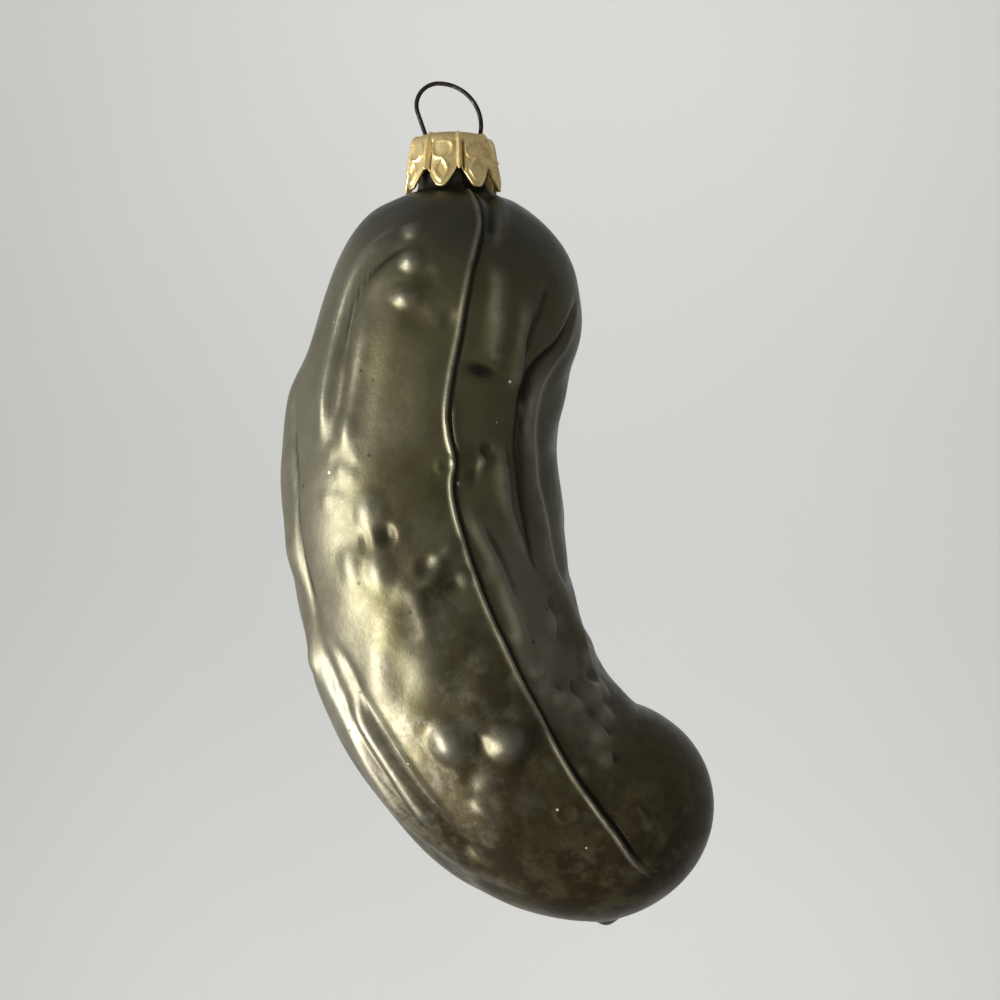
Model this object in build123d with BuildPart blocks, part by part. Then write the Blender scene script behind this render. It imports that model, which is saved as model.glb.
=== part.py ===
from build123d import *

# A blown glass pickle ornament with its stamped crown cap and sprung wire hanger.
# Millimetres, +Z up, as it hangs. The neck's axis is the Z axis, and the origin is the point under
# the wire eye's crown, on that axis, where a hook bears. The viewer stands on the -Y side.

import os
from math import acos, atan2, cos, degrees, exp, hypot, pi, prod, radians, sin, sqrt

# Wire hanger: one bent wire, with a leaning pear-shaped eye and two legs in the neck
wire_diameter = 0.6
eye_lean = 2.0
eye_bow = 0.25
eye_small_radius = 3.0
leg_bend_radius = 1.2
leg_length = 12.5
leg_splay = 1.0
hole_inset = 0.15
hole_clearance = 0.2

# Crown cap: thin sheet, drawn to a cup, with leaf petals and pinched folds between them
sheet_thickness = 0.3
cap_fit = 0.15
cap_edge_radius = 1.0
cap_flare = 1.5
petal_count = 8
petal_turn = -13.0
petal_tip_width = 1.0
fold_drop = 1.4
notch_depth = 2.6
notch_waist = 0.75
rim_gap = 0.15
tip_gap = 0.5

# Glass: the neck and the curved body share one wall
neck_diameter = 9.5
neck_length = 7.1
glass_wall = 0.7
depth_ratio = 0.94

# The body's spine: two arcs in the XZ plane, from the shoulder's centre to the tail's centre
shoulder_lean = 19.4
upper_bend_radius = 69.0
upper_bend_angle = 41.5
lower_bend_radius = 30.0
lower_bend_angle = 54.0

# Half widths of the body at even steps along the spine, from the shoulder to the tail
half_widths = (17.7, 18.2, 18.6, 17.5, 14.1)

# Where the body is sectioned: steps along the spine, angles from the pole of each rounded end, and
# steps round each half of the skin
spine_steps = 16
shoulder_dome_angles = (14.0, 27.0, 42.0, 58.0, 74.0)
tail_dome_angles = (73.0, 56.0, 39.0, 22.0, 5.0)
half_turn_steps = 32

# Places on the skin are given as (along, around): millimetres along the skin from the shoulder's
# widest section, less than zero up the shoulder's dome and past the spine's length round the tail's
# dome, and degrees from the front, towards the right side

# Mould seam: the skin's two halves meet in a low ridge down the front, and in its mirror image behind
seam_rise = 0.4
seam_share = 0.02
seam_end = 5.0
seam = ((-26.0, -4.0), (-7.0, 4.0), (22.0, 14.5), (50.0, 25.5), (61.0, 24.0), (69.0, 16.0), (82.0, -8.0))

# Folds of the fruit: (places, half width, rise), ribs above the skin and creases beside them below it
fold_end = 9.0
folds = (
    (((-6, 69), (4, 53), (10, 48), (19, 51.5), (30, 60.5), (39, 60.5), (50, 68), (62, 76)), 1.9, 1.15),
    (((-7, 69), (0.5, 54.5), (6, 44), (10, 43), (17, 45), (29, 47), (41, 54)), 1.3, -1.0),
    (((-11, -39), (-3, -49), (3, -50), (15, -46), (21, -47)), 1.8, 0.65),
    (((-9, -24), (0, -42), (5, -45), (11, -42)), 1.3, -0.5),
    (((8, -84), (20, -86), (26, -82), (31, -75), (38, -68)), 2.6, 1.25),
    (((12, -80), (23, -66), (31.5, -62), (41, -60)), 1.3, -0.65),
    (((34, -75), (43, -67.5), (52, -56.5), (59, -61), (66, -68)), 1.7, 1.15),
    (((39, -60), (49, -52.5), (53, -51), (58, -53), (66, -64)), 1.2, -0.75),
    (((43, -53), (53, -46), (63, -51.5)), 1.2, 0.85),
    (((35, -59), (43, -46.5), (49.5, -41), (56, -39), (61.5, -42.5), (69, -58)), 1.3, -0.65),
    (((38, -98), (50, -96), (60, -95), (74, -97)), 3.0, 1.2),
    (((0, 136), (18, 142), (34, 138), (54, 130)), 2.4, 1.1),
    (((3, 147), (18, 153), (34, 148), (50, 139)), 1.3, -0.5),
    (((4, 214), (22, 222), (38, 220), (58, 228)), 2.4, 1.1),
    (((6, 206), (22, 212), (38, 209), (54, 216)), 1.3, -0.5),
)

# Warts: (along, around, radius, rise above the skin), on the front and then on the back
warts = (
    (55.5, -14.0, 3.2, 1.5),
    (59.7, 5.0, 3.2, 1.4),
    (-4.3, -23.0, 2.2, 0.8),
    (27.0, -19.0, 3.6, 0.9),
    (33.5, -17.0, 3.0, 0.8),
    (33.6, 9.0, 2.4, 0.8),
    (67.6, 56.0, 2.5, 0.7),
    (6.0, 200.0, 2.8, 0.9),
    (30.0, 202.0, 3.2, 1.1),
    (46.0, 198.0, 3.0, 1.0),
    (58.0, 178.0, 3.2, 1.3),
    (70.0, 152.0, 2.6, 0.9),
)

# The tail: a broad swelling beneath, and the sealed tip of the glass under it
swell_place = (76.0, -90.0)
swell_width = 10.0
swell_rise = 2.2
tip_place = (81.2, -90.0)
tip_radius = 1.8
tip_rise = 1.0

# Places worked out from the sizes above
wire_radius = wire_diameter / 2
neck_radius = neck_diameter / 2
bore_radius = neck_radius - glass_wall
hole_offset = bore_radius - wire_radius - hole_inset
hole_radius = wire_radius + hole_clearance
eye_large_radius = hole_offset + eye_lean + eye_bow
apex_z = wire_radius + eye_large_radius - sqrt(eye_large_radius**2 - eye_lean**2)
hole_z = apex_z - eye_large_radius - sqrt(eye_large_radius**2 - (hole_offset + eye_lean) ** 2)
cap_top_z = hole_z + sheet_thickness / 2
rim_z = cap_top_z - sheet_thickness - rim_gap
cap_radius = neck_radius + cap_fit + sheet_thickness
petal_radius = cap_radius + cap_flare
shoulder_radius = half_widths[0]
tail_radius = half_widths[-1]
shoulder_z = rim_z - neck_length - sqrt(shoulder_radius**2 - neck_radius**2)
neck_root_z = shoulder_z + shoulder_radius / 2
tip_z = shoulder_z + sqrt(shoulder_radius**2 - petal_radius**2) + tip_gap
cap_height = cap_top_z - tip_z
cap_slope = cap_flare / cap_height


# Spine of the body
with BuildLine(Plane.XZ) as spine:
    upper_bend = JernArc(
        (0, shoulder_z),
        (-sin(radians(shoulder_lean)), -cos(radians(shoulder_lean))),
        upper_bend_radius,
        upper_bend_angle,
    )
    JernArc(upper_bend @ 1, upper_bend % 1, lower_bend_radius, lower_bend_angle)
spine_wire = spine.wires()[0]


def half_width(share):
    """Half width of the body at a share of the spine: the one polynomial through every station."""
    stations = range(len(half_widths))
    place = share * stations[-1]
    width = 0
    for own in stations:
        width += half_widths[own] * prod((place - other) / (own - other) for other in stations if other != own)
    return width


def section(along, rise):
    """Centre, heading and half width of the body's section at a place along it, raised off the skin."""
    past = along - spine_wire.length
    if along < 0:
        angle = pi / 2 + along / shoulder_radius
        lean = radians(shoulder_lean) * angle / (pi / 2)
        heading = Vector(-sin(lean), 0, -cos(lean))
        radius = shoulder_radius + rise
        return spine_wire @ 0 - heading * (radius * cos(angle)), heading, radius * sin(angle)
    if past > 0:
        angle = pi / 2 - past / tail_radius
        heading = spine_wire % 1
        radius = tail_radius + rise
        return spine_wire @ 1 + heading * (radius * cos(angle)), heading, radius * sin(angle)
    share = along / spine_wire.length
    return spine_wire @ share, spine_wire % share, half_width(share) + rise


def section_places():
    """Places along the body of its sections, from the neck to the tail's end."""
    shoulder = [-radians(90 - angle) * shoulder_radius for angle in shoulder_dome_angles]
    middle = [spine_wire.length * step / spine_steps for step in range(spine_steps + 1)]
    tail = [spine_wire.length + radians(90 - angle) * tail_radius for angle in tail_dome_angles]
    return shoulder + middle + tail


def between(places, along):
    """Degrees round the body of a line through places, at a place along it."""
    for (start, start_turn), (end, end_turn) in zip(places, places[1:]):
        if along <= end:
            share = max(0, (along - start) / (end - start))
            return start_turn + (end_turn - start_turn) * share
    return places[-1][1]


def bell(along, around, girth, width):
    """Share of a swelling's height that is left at a distance from its middle, given as a place."""
    aside = radians((around + 180) % 360 - 180) * girth
    return exp(-(along**2 + aside**2) / width**2)


def taper(places, along, end):
    """Share of a line's height that is left at a place along it: all of it, but for its two ends."""
    return max(0, min(1, (along - places[0][0]) / end, (places[-1][0] - along) / end))


def relief(along, around):
    """Height of the folds, tapered at their ends, and of the tail's swelling, at a place on the skin."""
    girth = section(along, 0)[2]
    height = swell_rise * bell(along - swell_place[0], around - swell_place[1], girth, swell_width)
    for places, width, rise in folds:
        across = bell(0, around - between(places, along), girth, width)
        height += rise * taper(places, along, fold_end) * across
    return height


def on_skin(along, around, rise):
    """Point at a place on the skin, over its relief, raised off it."""
    centre, heading, width = section(along, relief(along, around) + rise)
    turn = radians(around)
    return centre + Vector(-heading.Z * sin(turn), -depth_ratio * cos(turn), heading.X * sin(turn)) * width


def skin_half(along, width, turns):
    """Points in the section's plane round one half of the skin, with the seam's ridge at both ends."""
    shares = [step / half_turn_steps for step in range(1, half_turn_steps)]
    ridge = seam_rise * taper(seam, along, seam_end)
    points = []
    for share in [0, seam_share] + shares + [1 - seam_share, 1]:
        around = turns[0] + (turns[1] - turns[0]) * share
        reach = width + relief(along, around) + (ridge if share in (0, 1) else 0)
        points.append((depth_ratio * reach * cos(radians(around)), reach * sin(radians(around))))
    return points


# Cavity: the hollow of the body and the bore of the neck
with BuildPart() as cavity:
    for along in section_places():
        centre, heading, width = section(along, -glass_wall)
        with BuildSketch(Plane(origin=centre, x_dir=(0, -1, 0), z_dir=-heading)):
            Ellipse(depth_ratio * width, width)
    loft(ruled=True)
    with BuildSketch(Plane.XY.offset(neck_root_z)):
        Circle(bore_radius)
    extrude(amount=rim_z - neck_root_z + glass_wall)


# Glass body: two lofted halves of skin, the neck, the warts and the tail's tip, around the cavity
with BuildPart() as glass_body:
    for along in section_places():
        centre, heading, width = section(along, 0)
        front = between(seam, along)
        with BuildSketch(Plane(origin=centre, x_dir=(0, -1, 0), z_dir=-heading)):
            with BuildLine():
                Spline(*skin_half(along, width, (front, 180 - front)))
                Spline(*skin_half(along, width, (180 - front, 360 + front)))
            make_face()
    loft(ruled=True)
    with BuildSketch(Plane.XY.offset(neck_root_z)):
        Circle(neck_radius)
    extrude(amount=rim_z - neck_root_z)
    for along, around, radius, rise in warts:
        with Locations(on_skin(along, around, rise - radius)):
            Sphere(radius)
    with Locations(on_skin(*tip_place, tip_rise - tip_radius)):
        Sphere(tip_radius)
    add(cavity.part, mode=Mode.SUBTRACT)
glass_body.part.label = "glass_body"


# Crown cap
with BuildPart() as crown_cap:
    with BuildSketch(Plane.XZ) as cap_profile:
        with BuildLine():
            Polyline((0, tip_z), (0, cap_top_z), (cap_radius, cap_top_z))
            Line((cap_radius, cap_top_z), (petal_radius, tip_z))
            Line((petal_radius, tip_z), (0, tip_z))
        make_face()
        rounded = cap_profile.vertices().sort_by(Axis.Y)[-2:].sort_by(Axis.X)[-1]
        fillet(rounded, cap_edge_radius)
    revolve(axis=Axis.Z)
    offset(amount=-sheet_thickness, openings=crown_cap.faces().sort_by(Axis.Z)[0])
    notch_reach = petal_radius * sin(radians(180 / petal_count)) - petal_tip_width / 2
    for number in range(petal_count):
        angle = radians(petal_turn + 360 / petal_count * (number + 0.5) - 90)
        outward = Vector(cos(angle), sin(angle), 0)
        foot = outward * (petal_radius - cap_slope * notch_depth) + Vector(0, 0, tip_z + notch_depth)
        head = outward * (cap_radius + cap_slope * fold_drop) + Vector(0, 0, cap_top_z - fold_drop)
        with BuildSketch(Plane(origin=foot, z_dir=head - foot)):
            Circle(sheet_thickness)
        extrude(amount=(head - foot).length)
        with BuildSketch(Plane(origin=(0, 0, tip_z), x_dir=(-sin(angle), cos(angle), 0), z_dir=outward)):
            with BuildLine():
                left = ThreePointArc((0, notch_depth), (-notch_waist, notch_depth / 2), (-notch_reach, 0))
                right = ThreePointArc((0, notch_depth), (notch_waist, notch_depth / 2), (notch_reach, 0))
                Polyline(left @ 1, (-notch_reach, -notch_depth), (notch_reach, -notch_depth), right @ 1)
            make_face()
        extrude(amount=petal_radius * 2, mode=Mode.SUBTRACT)
    with Locations((-hole_offset, 0, cap_top_z), (hole_offset, 0, cap_top_z)):
        Hole(hole_radius, depth=sheet_thickness * 2)
crown_cap.part.label = "crown_cap"


# Wire hanger: from the left leg's tip, over the eye, to the right leg's tip
with BuildPart() as wire_hanger:
    left_reach = hypot(hole_offset - eye_lean, apex_z - eye_small_radius - hole_z)
    left_bearing = degrees(atan2(hole_z - apex_z + eye_small_radius, eye_lean - hole_offset)) % 360
    touch = left_bearing - degrees(acos(eye_small_radius / left_reach))
    with BuildLine(Plane.XZ) as wire_path:
        crown_left = CenterArc((-eye_lean, apex_z - eye_small_radius), eye_small_radius, 90, touch - 90)
        left_side = Line(crown_left @ 1, (-hole_offset, hole_z))
        left_heading = degrees(atan2((left_side % 1).Z, (left_side % 1).X)) % 360
        left_turn = 270 - leg_splay - left_heading
        left_bend = JernArc(left_side @ 1, left_side % 1, leg_bend_radius, left_turn)
        Line(left_bend @ 1, left_bend @ 1 + (left_bend % 1) * leg_length)
        right_sweep = 90 + degrees(acos((hole_offset + eye_lean) / eye_large_radius))
        crown_right = CenterArc((-eye_lean, apex_z - eye_large_radius), eye_large_radius, 90, -right_sweep)
        right_heading = degrees(atan2((crown_right % 1).Z, (crown_right % 1).X)) % 360
        right_turn = 270 + leg_splay - right_heading
        right_bend = JernArc(crown_right @ 1, crown_right % 1, leg_bend_radius, right_turn)
        Line(right_bend @ 1, right_bend @ 1 + (right_bend % 1) * leg_length)
    wire_line = wire_path.wires()[0]
    with BuildSketch(Plane(origin=wire_line @ 0, z_dir=wire_line % 0)):
        Circle(wire_radius)
    sweep(path=wire_line)
wire_hanger.part.label = "wire_hanger"


os.makedirs("parts", exist_ok=True)
for piece in (glass_body, crown_cap, wire_hanger):
    export_step(piece.part, f"parts/{piece.part.label}.step")
    print(piece.part.label, "volume", round(piece.part.volume, 2), "box", piece.part.bounding_box())
print("hole_z", round(hole_z, 4), "cap_top_z", round(cap_top_z, 4), "rim_z", round(rim_z, 4))
print("shoulder_z", round(shoulder_z, 4), "tip_z", round(tip_z, 4), "hole_offset", round(hole_offset, 4))
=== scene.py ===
import bpy
import numpy as np
from bpy.props import FloatProperty, FloatVectorProperty, IntProperty, PointerProperty
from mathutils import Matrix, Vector


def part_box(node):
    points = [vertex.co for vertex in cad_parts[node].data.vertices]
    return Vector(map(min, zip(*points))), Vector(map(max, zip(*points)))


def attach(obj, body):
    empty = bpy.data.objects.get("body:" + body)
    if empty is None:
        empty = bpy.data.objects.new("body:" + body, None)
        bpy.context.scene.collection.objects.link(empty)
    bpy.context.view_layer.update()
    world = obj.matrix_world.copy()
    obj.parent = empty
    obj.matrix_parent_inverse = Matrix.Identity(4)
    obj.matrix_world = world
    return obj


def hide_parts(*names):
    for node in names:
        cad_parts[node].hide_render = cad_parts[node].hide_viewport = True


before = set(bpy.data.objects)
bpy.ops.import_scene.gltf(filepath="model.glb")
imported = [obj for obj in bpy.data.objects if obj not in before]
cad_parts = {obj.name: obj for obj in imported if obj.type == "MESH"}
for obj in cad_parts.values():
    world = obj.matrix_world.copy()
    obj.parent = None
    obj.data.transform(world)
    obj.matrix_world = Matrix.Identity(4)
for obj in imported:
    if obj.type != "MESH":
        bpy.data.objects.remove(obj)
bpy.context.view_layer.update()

bl_info = {
    "name": "Pickle Ornament",
    "version": (1, 0, 0),
    "blender": (4, 5, 0),
    "location": "View3D > Sidebar > Pickle Ornament",
    "description": "Dresses the hanging glass pickle: lacquered glass, gold cap, dark wire and pale stage",
    "category": "Object",
}

MM = 0.001
GLASS_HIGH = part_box("glass_body")[1]
CAP_LOW, CAP_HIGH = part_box("crown_cap")

# Places on the glass are (along, around): millimetres along the skin from the shoulder's widest
# section, less than zero up the shoulder, and degrees from the front towards the right side.

# The mould seam, from the neck down the front to where it fades under the tail
SEAM = (
    (-24.0, 6.0), (-15.5, 7.0), (-12.0, 7.2), (-9.0, 5.4), (-5.0, 4.2), (-1.5, 5.0), (3.0, 7.2),
    (9.0, 8.2), (14.5, 9.2), (17.0, 10.8), (20.5, 13.8), (23.5, 13.0), (27.0, 14.0), (33.0, 17.0),
    (40.0, 20.0), (47.0, 22.8), (54.0, 24.2), (60.0, 23.8), (65.8, 18.2), (70.2, 12.0), (74.5, 4.0),
    (78.5, -8.0), (81.5, -20.0), (86.0, -34.0),
)

# Lines of the relief: (places, half width in mm, height in mm), ridges above zero and creases below
LINES = (
    # The fold on the right: its swelling, its crease in two stretches, and the lip beside the crease
    (((-6.0, 71.0), (-0.8, 61.5), (4.0, 54.0), (9.2, 49.4), (12.5, 48.8), (18.8, 49.5), (24.2, 52.5),
      (29.8, 55.5), (35.0, 56.0), (39.2, 58.0), (43.2, 63.0), (50.0, 67.0), (62.0, 76.0)), 1.3, 1.05),
    (((-7.0, 70.0), (-3.8, 64.0), (0.5, 56.0), (3.5, 50.0), (6.0, 46.4), (8.5, 45.0),
      (14.0, 44.5)), 0.78, -1.1),
    (((6.0, 45.5), (11.8, 44.5), (16.5, 44.4), (22.8, 46.0), (29.2, 48.4), (34.2, 49.4),
      (41.0, 53.0)), 0.8, -0.7),
    (((2.0, 53.2), (5.0, 49.4), (9.0, 47.2), (14.0, 46.8), (19.0, 47.2), (24.0, 49.2), (30.0, 52.5),
      (36.0, 54.0)), 0.6, 0.45),
    # Streaks between the seam and the fold, with the crease and the ridge that run up the shoulder
    (((-8.0, 45.0), (-4.5, 42.5), (-0.8, 40.5), (4.6, 42.5)), 0.9, -0.65),
    (((-8.0, 16.0), (-2.5, 20.0), (0.8, 23.0), (3.2, 23.5), (6.0, 22.0)), 1.2, 0.75),
    (((-5.0, 30.0), (-1.2, 33.0), (0.5, 34.0), (4.2, 37.0), (10.0, 38.0)), 1.1, 0.75),
    (((-7.0, 11.0), (0.0, 14.5), (5.0, 15.5)), 1.4, -0.3),
    (((-23.0, 30.0), (-17.0, 19.0), (-13.5, 14.5), (-9.0, 11.5)), 0.9, -0.7),
    (((-21.0, 40.0), (-16.0, 24.0), (-11.5, 18.0), (-8.0, 15.0)), 1.0, 0.5),
    (((25.0, 20.5), (31.0, 24.0), (33.5, 27.0), (36.0, 29.0), (42.0, 31.0), (50.0, 33.0)), 1.2, 0.8),
    (((29.0, 29.5), (32.2, 31.5), (35.2, 33.5), (42.0, 36.5)), 1.0, -0.45),
    (((15.0, 33.5), (20.8, 35.0), (27.5, 37.0), (33.0, 41.0), (38.0, 44.0)), 1.1, 0.8),
    (((12.0, 11.5), (16.0, 13.0), (20.0, 16.0)), 0.6, 0.25),
    (((44.0, 27.0), (50.0, 30.0), (56.0, 31.5)), 1.6, 0.45),
    # Ribs and creases on the upper left
    (((-11.0, -34.0), (-7.8, -38.0), (-2.8, -44.5), (2.8, -47.0), (9.8, -47.5), (15.0, -46.0),
      (21.0, -47.0)), 1.3, 1.05),
    (((-9.0, -23.0), (-6.5, -28.5), (0.0, -40.0), (3.5, -42.5), (6.2, -43.0), (11.0, -41.0)), 0.9, -0.7),
    (((2.0, -37.0), (6.8, -33.5), (11.5, -32.5), (15.8, -32.0), (21.0, -32.0)), 1.5, 0.5),
    (((6.0, -42.0), (11.0, -40.0), (17.0, -39.0)), 1.2, -0.25),
    # Ribs and creases down the left edge and round the lower left
    (((8.0, -84.0), (14.0, -86.0), (20.0, -85.0), (26.0, -81.0), (31.0, -75.0), (36.0, -70.0)), 2.6, 1.05),
    (((12.0, -80.0), (16.8, -74.0), (23.0, -66.0), (31.5, -62.0), (36.0, -60.5), (41.0, -60.0)), 0.9, -0.7),
    (((36.0, -74.0), (39.0, -70.0), (42.8, -67.5), (47.0, -61.0), (52.0, -57.5), (55.5, -58.5),
      (59.2, -62.0), (66.0, -69.0)), 2.0, 1.1),
    (((39.0, -60.0), (43.5, -57.0), (48.8, -52.5), (53.0, -50.8), (57.5, -53.0), (61.0, -57.5),
      (66.0, -64.0)), 0.65, -0.55),
    (((46.5, -48.6), (50.0, -46.6), (53.2, -45.8), (57.8, -47.8), (60.2, -49.5), (63.2, -51.5)), 1.2, 0.85),
    (((39.0, -54.5), (43.0, -46.5), (49.5, -40.8), (56.0, -39.0), (61.5, -42.5), (65.0, -49.0),
      (69.0, -58.0)), 0.95, -0.6),
    # The star-shaped ridge left of the seam, and two faint lines lower down
    (((36.0, -5.5), (38.5, -5.0), (40.8, -4.4), (44.0, -5.2)), 1.1, 0.35),
    (((30.6, 13.0), (32.0, 10.0), (33.2, 5.5), (35.8, 0.0), (37.6, -5.5)), 0.85, 0.44),
    (((65.0, -67.0), (69.0, -60.0), (73.0, -53.0)), 0.9, 0.3),
    (((80.0, 11.0), (81.2, 7.0), (82.5, 2.0), (84.0, -4.0)), 0.35, 0.22),
    # Ribs and creases of the sides and the back
    (((38.0, -98.0), (50.0, -96.0), (60.0, -95.0), (74.0, -97.0)), 3.0, 1.1),
    (((0.0, 136.0), (18.0, 142.0), (34.0, 138.0), (54.0, 130.0)), 2.4, 1.1),
    (((3.0, 147.0), (18.0, 153.0), (34.0, 148.0), (50.0, 139.0)), 1.0, -0.55),
    (((4.0, 214.0), (22.0, 222.0), (38.0, 220.0), (58.0, 228.0)), 2.4, 1.1),
    (((6.0, 206.0), (22.0, 212.0), (38.0, 209.0), (54.0, 216.0)), 1.0, -0.5),
    (((20.0, 96.0), (32.0, 104.0), (44.0, 108.0), (56.0, 104.0)), 2.0, 0.6),
    (((16.0, 248.0), (28.0, 254.0), (40.0, 250.0), (52.0, 246.0)), 2.0, 0.6),
)

# Warts and dents: (along, around, half length in mm, half width in mm, height in mm)
BUMPS = (
    # The two warts low on the front, with the dents and small warts round them
    (55.5, -14.0, 3.5, 3.4, 1.6), (59.8, 5.5, 3.5, 3.4, 1.6), (57.4, -4.5, 2.2, 1.6, -0.45),
    (60.0, -14.0, 1.8, 2.6, -0.35), (63.6, 3.0, 1.8, 2.6, -0.35), (61.6, -14.0, 2.4, 2.0, 0.3),
    (63.6, -24.0, 1.9, 1.7, 0.4),
    # Warts and dents of the shoulder
    (-9.0, -28.0, 1.9, 2.1, 0.6), (-4.2, -22.0, 2.1, 2.3, 0.8), (0.8, -19.0, 1.8, 2.6, 0.65),
    (-2.6, -13.0, 2.2, 2.2, -0.35), (3.0, -11.0, 2.4, 2.6, -0.3), (1.8, 1.5, 2.0, 1.2, -0.3),
    # Lumps and dents of the middle, on both sides of the seam
    (26.8, -21.0, 3.6, 3.0, 0.55), (29.6, -14.2, 1.9, 1.8, -0.7), (33.8, -18.5, 3.0, 2.6, 0.5),
    (30.2, -23.5, 2.2, 1.1, -0.25), (32.5, -32.0, 2.8, 2.2, 0.3), (32.1, 10.4, 1.7, 1.5, 0.2),
    (34.2, 1.2, 1.9, 2.0, -0.6), (37.2, 9.5, 1.9, 2.4, -0.6), (36.2, 14.2, 1.6, 1.3, 0.35),
    (20.2, 26.2, 1.8, 1.0, 0.6), (18.4, 27.8, 1.6, 1.4, -0.6), (22.2, 22.0, 1.9, 1.3, -0.5),
    (7.2, 20.8, 1.6, 3.6, -0.9), (4.6, 25.8, 1.3, 1.3, 0.35), (23.4, 16.2, 0.5, 1.2, 0.3),
    # Lumps and pits low on the right
    (46.5, 48.0, 3.4, 2.0, 0.6), (58.5, 66.0, 4.6, 2.4, 0.6),
    (53.5, 33.0, 3.2, 2.0, 0.55), (57.2, 31.5, 2.5, 1.7, 0.55), (60.2, 36.5, 2.9, 1.9, 0.65),
    (63.6, 41.5, 3.1, 2.1, 0.65), (65.4, 55.0, 3.9, 2.5, 0.75), (70.6, 50.0, 3.3, 2.1, 0.6),
    (71.2, 37.5, 2.9, 1.9, 0.6), (67.0, 63.0, 3.8, 2.1, 0.5), (74.0, 28.0, 2.3, 1.8, 0.5),
    (58.6, 41.0, 2.7, 1.7, -0.55), (61.5, 48.5, 3.3, 1.9, -0.6), (66.4, 36.0, 2.5, 1.6, -0.5),
    (68.0, 46.5, 2.8, 1.7, -0.6), (69.4, 29.5, 2.3, 1.7, -0.5), (75.8, 32.0, 2.1, 1.6, -0.55),
    (72.5, 44.0, 2.3, 1.5, -0.5), (62.5, 62.0, 3.8, 1.9, -0.5), (43.8, 54.0, 2.8, 1.6, -0.5),
    (50.0, 54.5, 3.4, 2.0, -0.45), (46.5, 31.0, 2.4, 1.8, 0.3), (36.8, 25.0, 2.6, 1.8, 0.25),
    (50.5, 40.0, 4.0, 2.2, 0.35), (71.0, 17.0, 1.6, 1.5, 0.3),
    # Small marks on the left flank
    (21.8, -34.0, 1.4, 1.2, 0.13), (22.5, -29.0, 1.3, 1.2, 0.12), (25.2, -42.0, 1.5, 1.2, 0.13),
    (20.0, -40.0, 1.4, 1.2, 0.12), (20.2, -27.0, 1.3, 1.1, 0.1), (17.0, -33.0, 2.6, 2.0, 0.18),
    (23.9, -36.0, 1.0, 1.0, -0.09), (24.2, -32.0, 1.0, 0.9, -0.09), (42.8, -68.0, 2.6, 1.8, 0.4),
    # Broad, soft lumps and hollows of the front
    (41.0, -1.0, 5.0, 4.2, 0.2), (36.5, -9.0, 3.0, 2.6, 0.2), (46.0, -10.0, 5.5, 4.0, 0.3),
    (64.8, -50.0, 2.4, 2.2, -0.6), (48.0, 2.0, 4.0, 3.0, -0.25), (46.0, -30.0, 5.0, 3.0, 0.2),
    (12.0, -10.0, 6.0, 3.5, -0.2), (70.0, -24.0, 4.0, 3.6, -0.25), (67.0, -8.0, 2.6, 2.4, 0.2),
    # Warts and dents of the sides and the back, and the sealed tip
    (-3.0, 160.0, 2.4, 2.4, 0.8), (6.0, 200.0, 2.9, 2.8, 0.9), (22.0, 188.0, 2.6, 2.6, 0.7),
    (30.0, 202.0, 3.2, 3.2, 1.1), (38.0, 156.0, 2.4, 2.4, 0.6), (46.0, 198.0, 3.0, 3.0, 1.0),
    (58.0, 178.0, 3.2, 3.2, 1.3), (66.0, 206.0, 3.0, 3.0, 0.9), (70.0, 152.0, 2.6, 2.6, 0.9),
    (12.0, 174.0, 4.0, 3.0, -0.35), (52.0, 160.0, 4.0, 3.0, -0.35), (16.0, 118.0, 2.8, 2.4, 0.6),
    (62.0, 120.0, 2.6, 2.4, 0.6), (28.0, 238.0, 2.6, 2.2, 0.6), (64.0, 244.0, 2.8, 2.4, 0.5),
    (81.2, -90.0, 2.0, 2.0, 0.85),
)

# Small rings left by bubbles: (along, around, ring radius in mm, half width in mm, height in mm)
RINGS = (
    (21.0, 10.8, 1.0, 0.4, 0.2),
    (71.8, -4.0, 1.3, 0.4, 0.2),
)

# The broad swelling under the tail: (along, around, half width in mm, height in mm)
SWELL = (76.0, -90.0, 10.0, 2.2)

# The tail's dome lies this far inside its full radius, which it reaches over a length, in mm
TAIL_EASE = 0.18
TAIL_EASE_LENGTH = 6.0

# Brown stains in the lacquer: (along, around, half length in mm, half width in mm, strength)
STAINS = (
    (30.0, -11.0, 5.0, 4.5, 0.7), (37.0, 2.0, 6.5, 6.0, 0.8), (45.0, 7.0, 7.0, 4.5, 0.6),
    (53.0, 12.0, 7.5, 4.5, 0.6), (62.0, 13.0, 8.0, 5.5, 0.7), (67.0, -6.0, 8.0, 8.0, 0.6),
    (0.0, -13.0, 5.0, 3.0, 0.5), (7.5, 20.5, 2.2, 4.0, 0.5), (20.0, 25.0, 4.0, 3.0, 0.5),
    (14.0, 4.0, 6.0, 2.4, 0.35), (26.0, 8.0, 5.0, 2.5, 0.4), (22.0, -2.0, 4.0, 3.0, 0.3),
    (34.0, 178.0, 9.0, 6.0, 0.6), (60.0, 196.0, 9.0, 7.0, 0.6), (20.0, 160.0, 6.0, 4.0, 0.5),
)

# Slow waves of the blown wall: (turns round the body, cycles per mm along it, share of the height)
WAVES = (
    (2, 0.021, 0.9), (3, -0.034, 0.8), (5, 0.043, 0.6),
    (7, -0.061, 0.5), (9, 0.083, 0.35), (12, 0.105, 0.25),
)

# Each wave is shifted by this angle from the one before, in radians
WAVE_SHIFT = 1.7

# Where the relief and the slow waves set in under the cap, and the waves' fade at the tail, in mm along
RELIEF_START = (-24.0, -20.0)
WAVE_START = (-21.0, -12.0)
WAVE_FADE = 8.0

# Each line of the relief rises and fades over this share of its length
LINE_FADE = 0.22

# Paleness where worn, also painted as highlight, on a wart, and painted shade in a dent, for each mm of its
# height
WART_WEAR = 1.5
DENT_DIRT = 0.85

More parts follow.
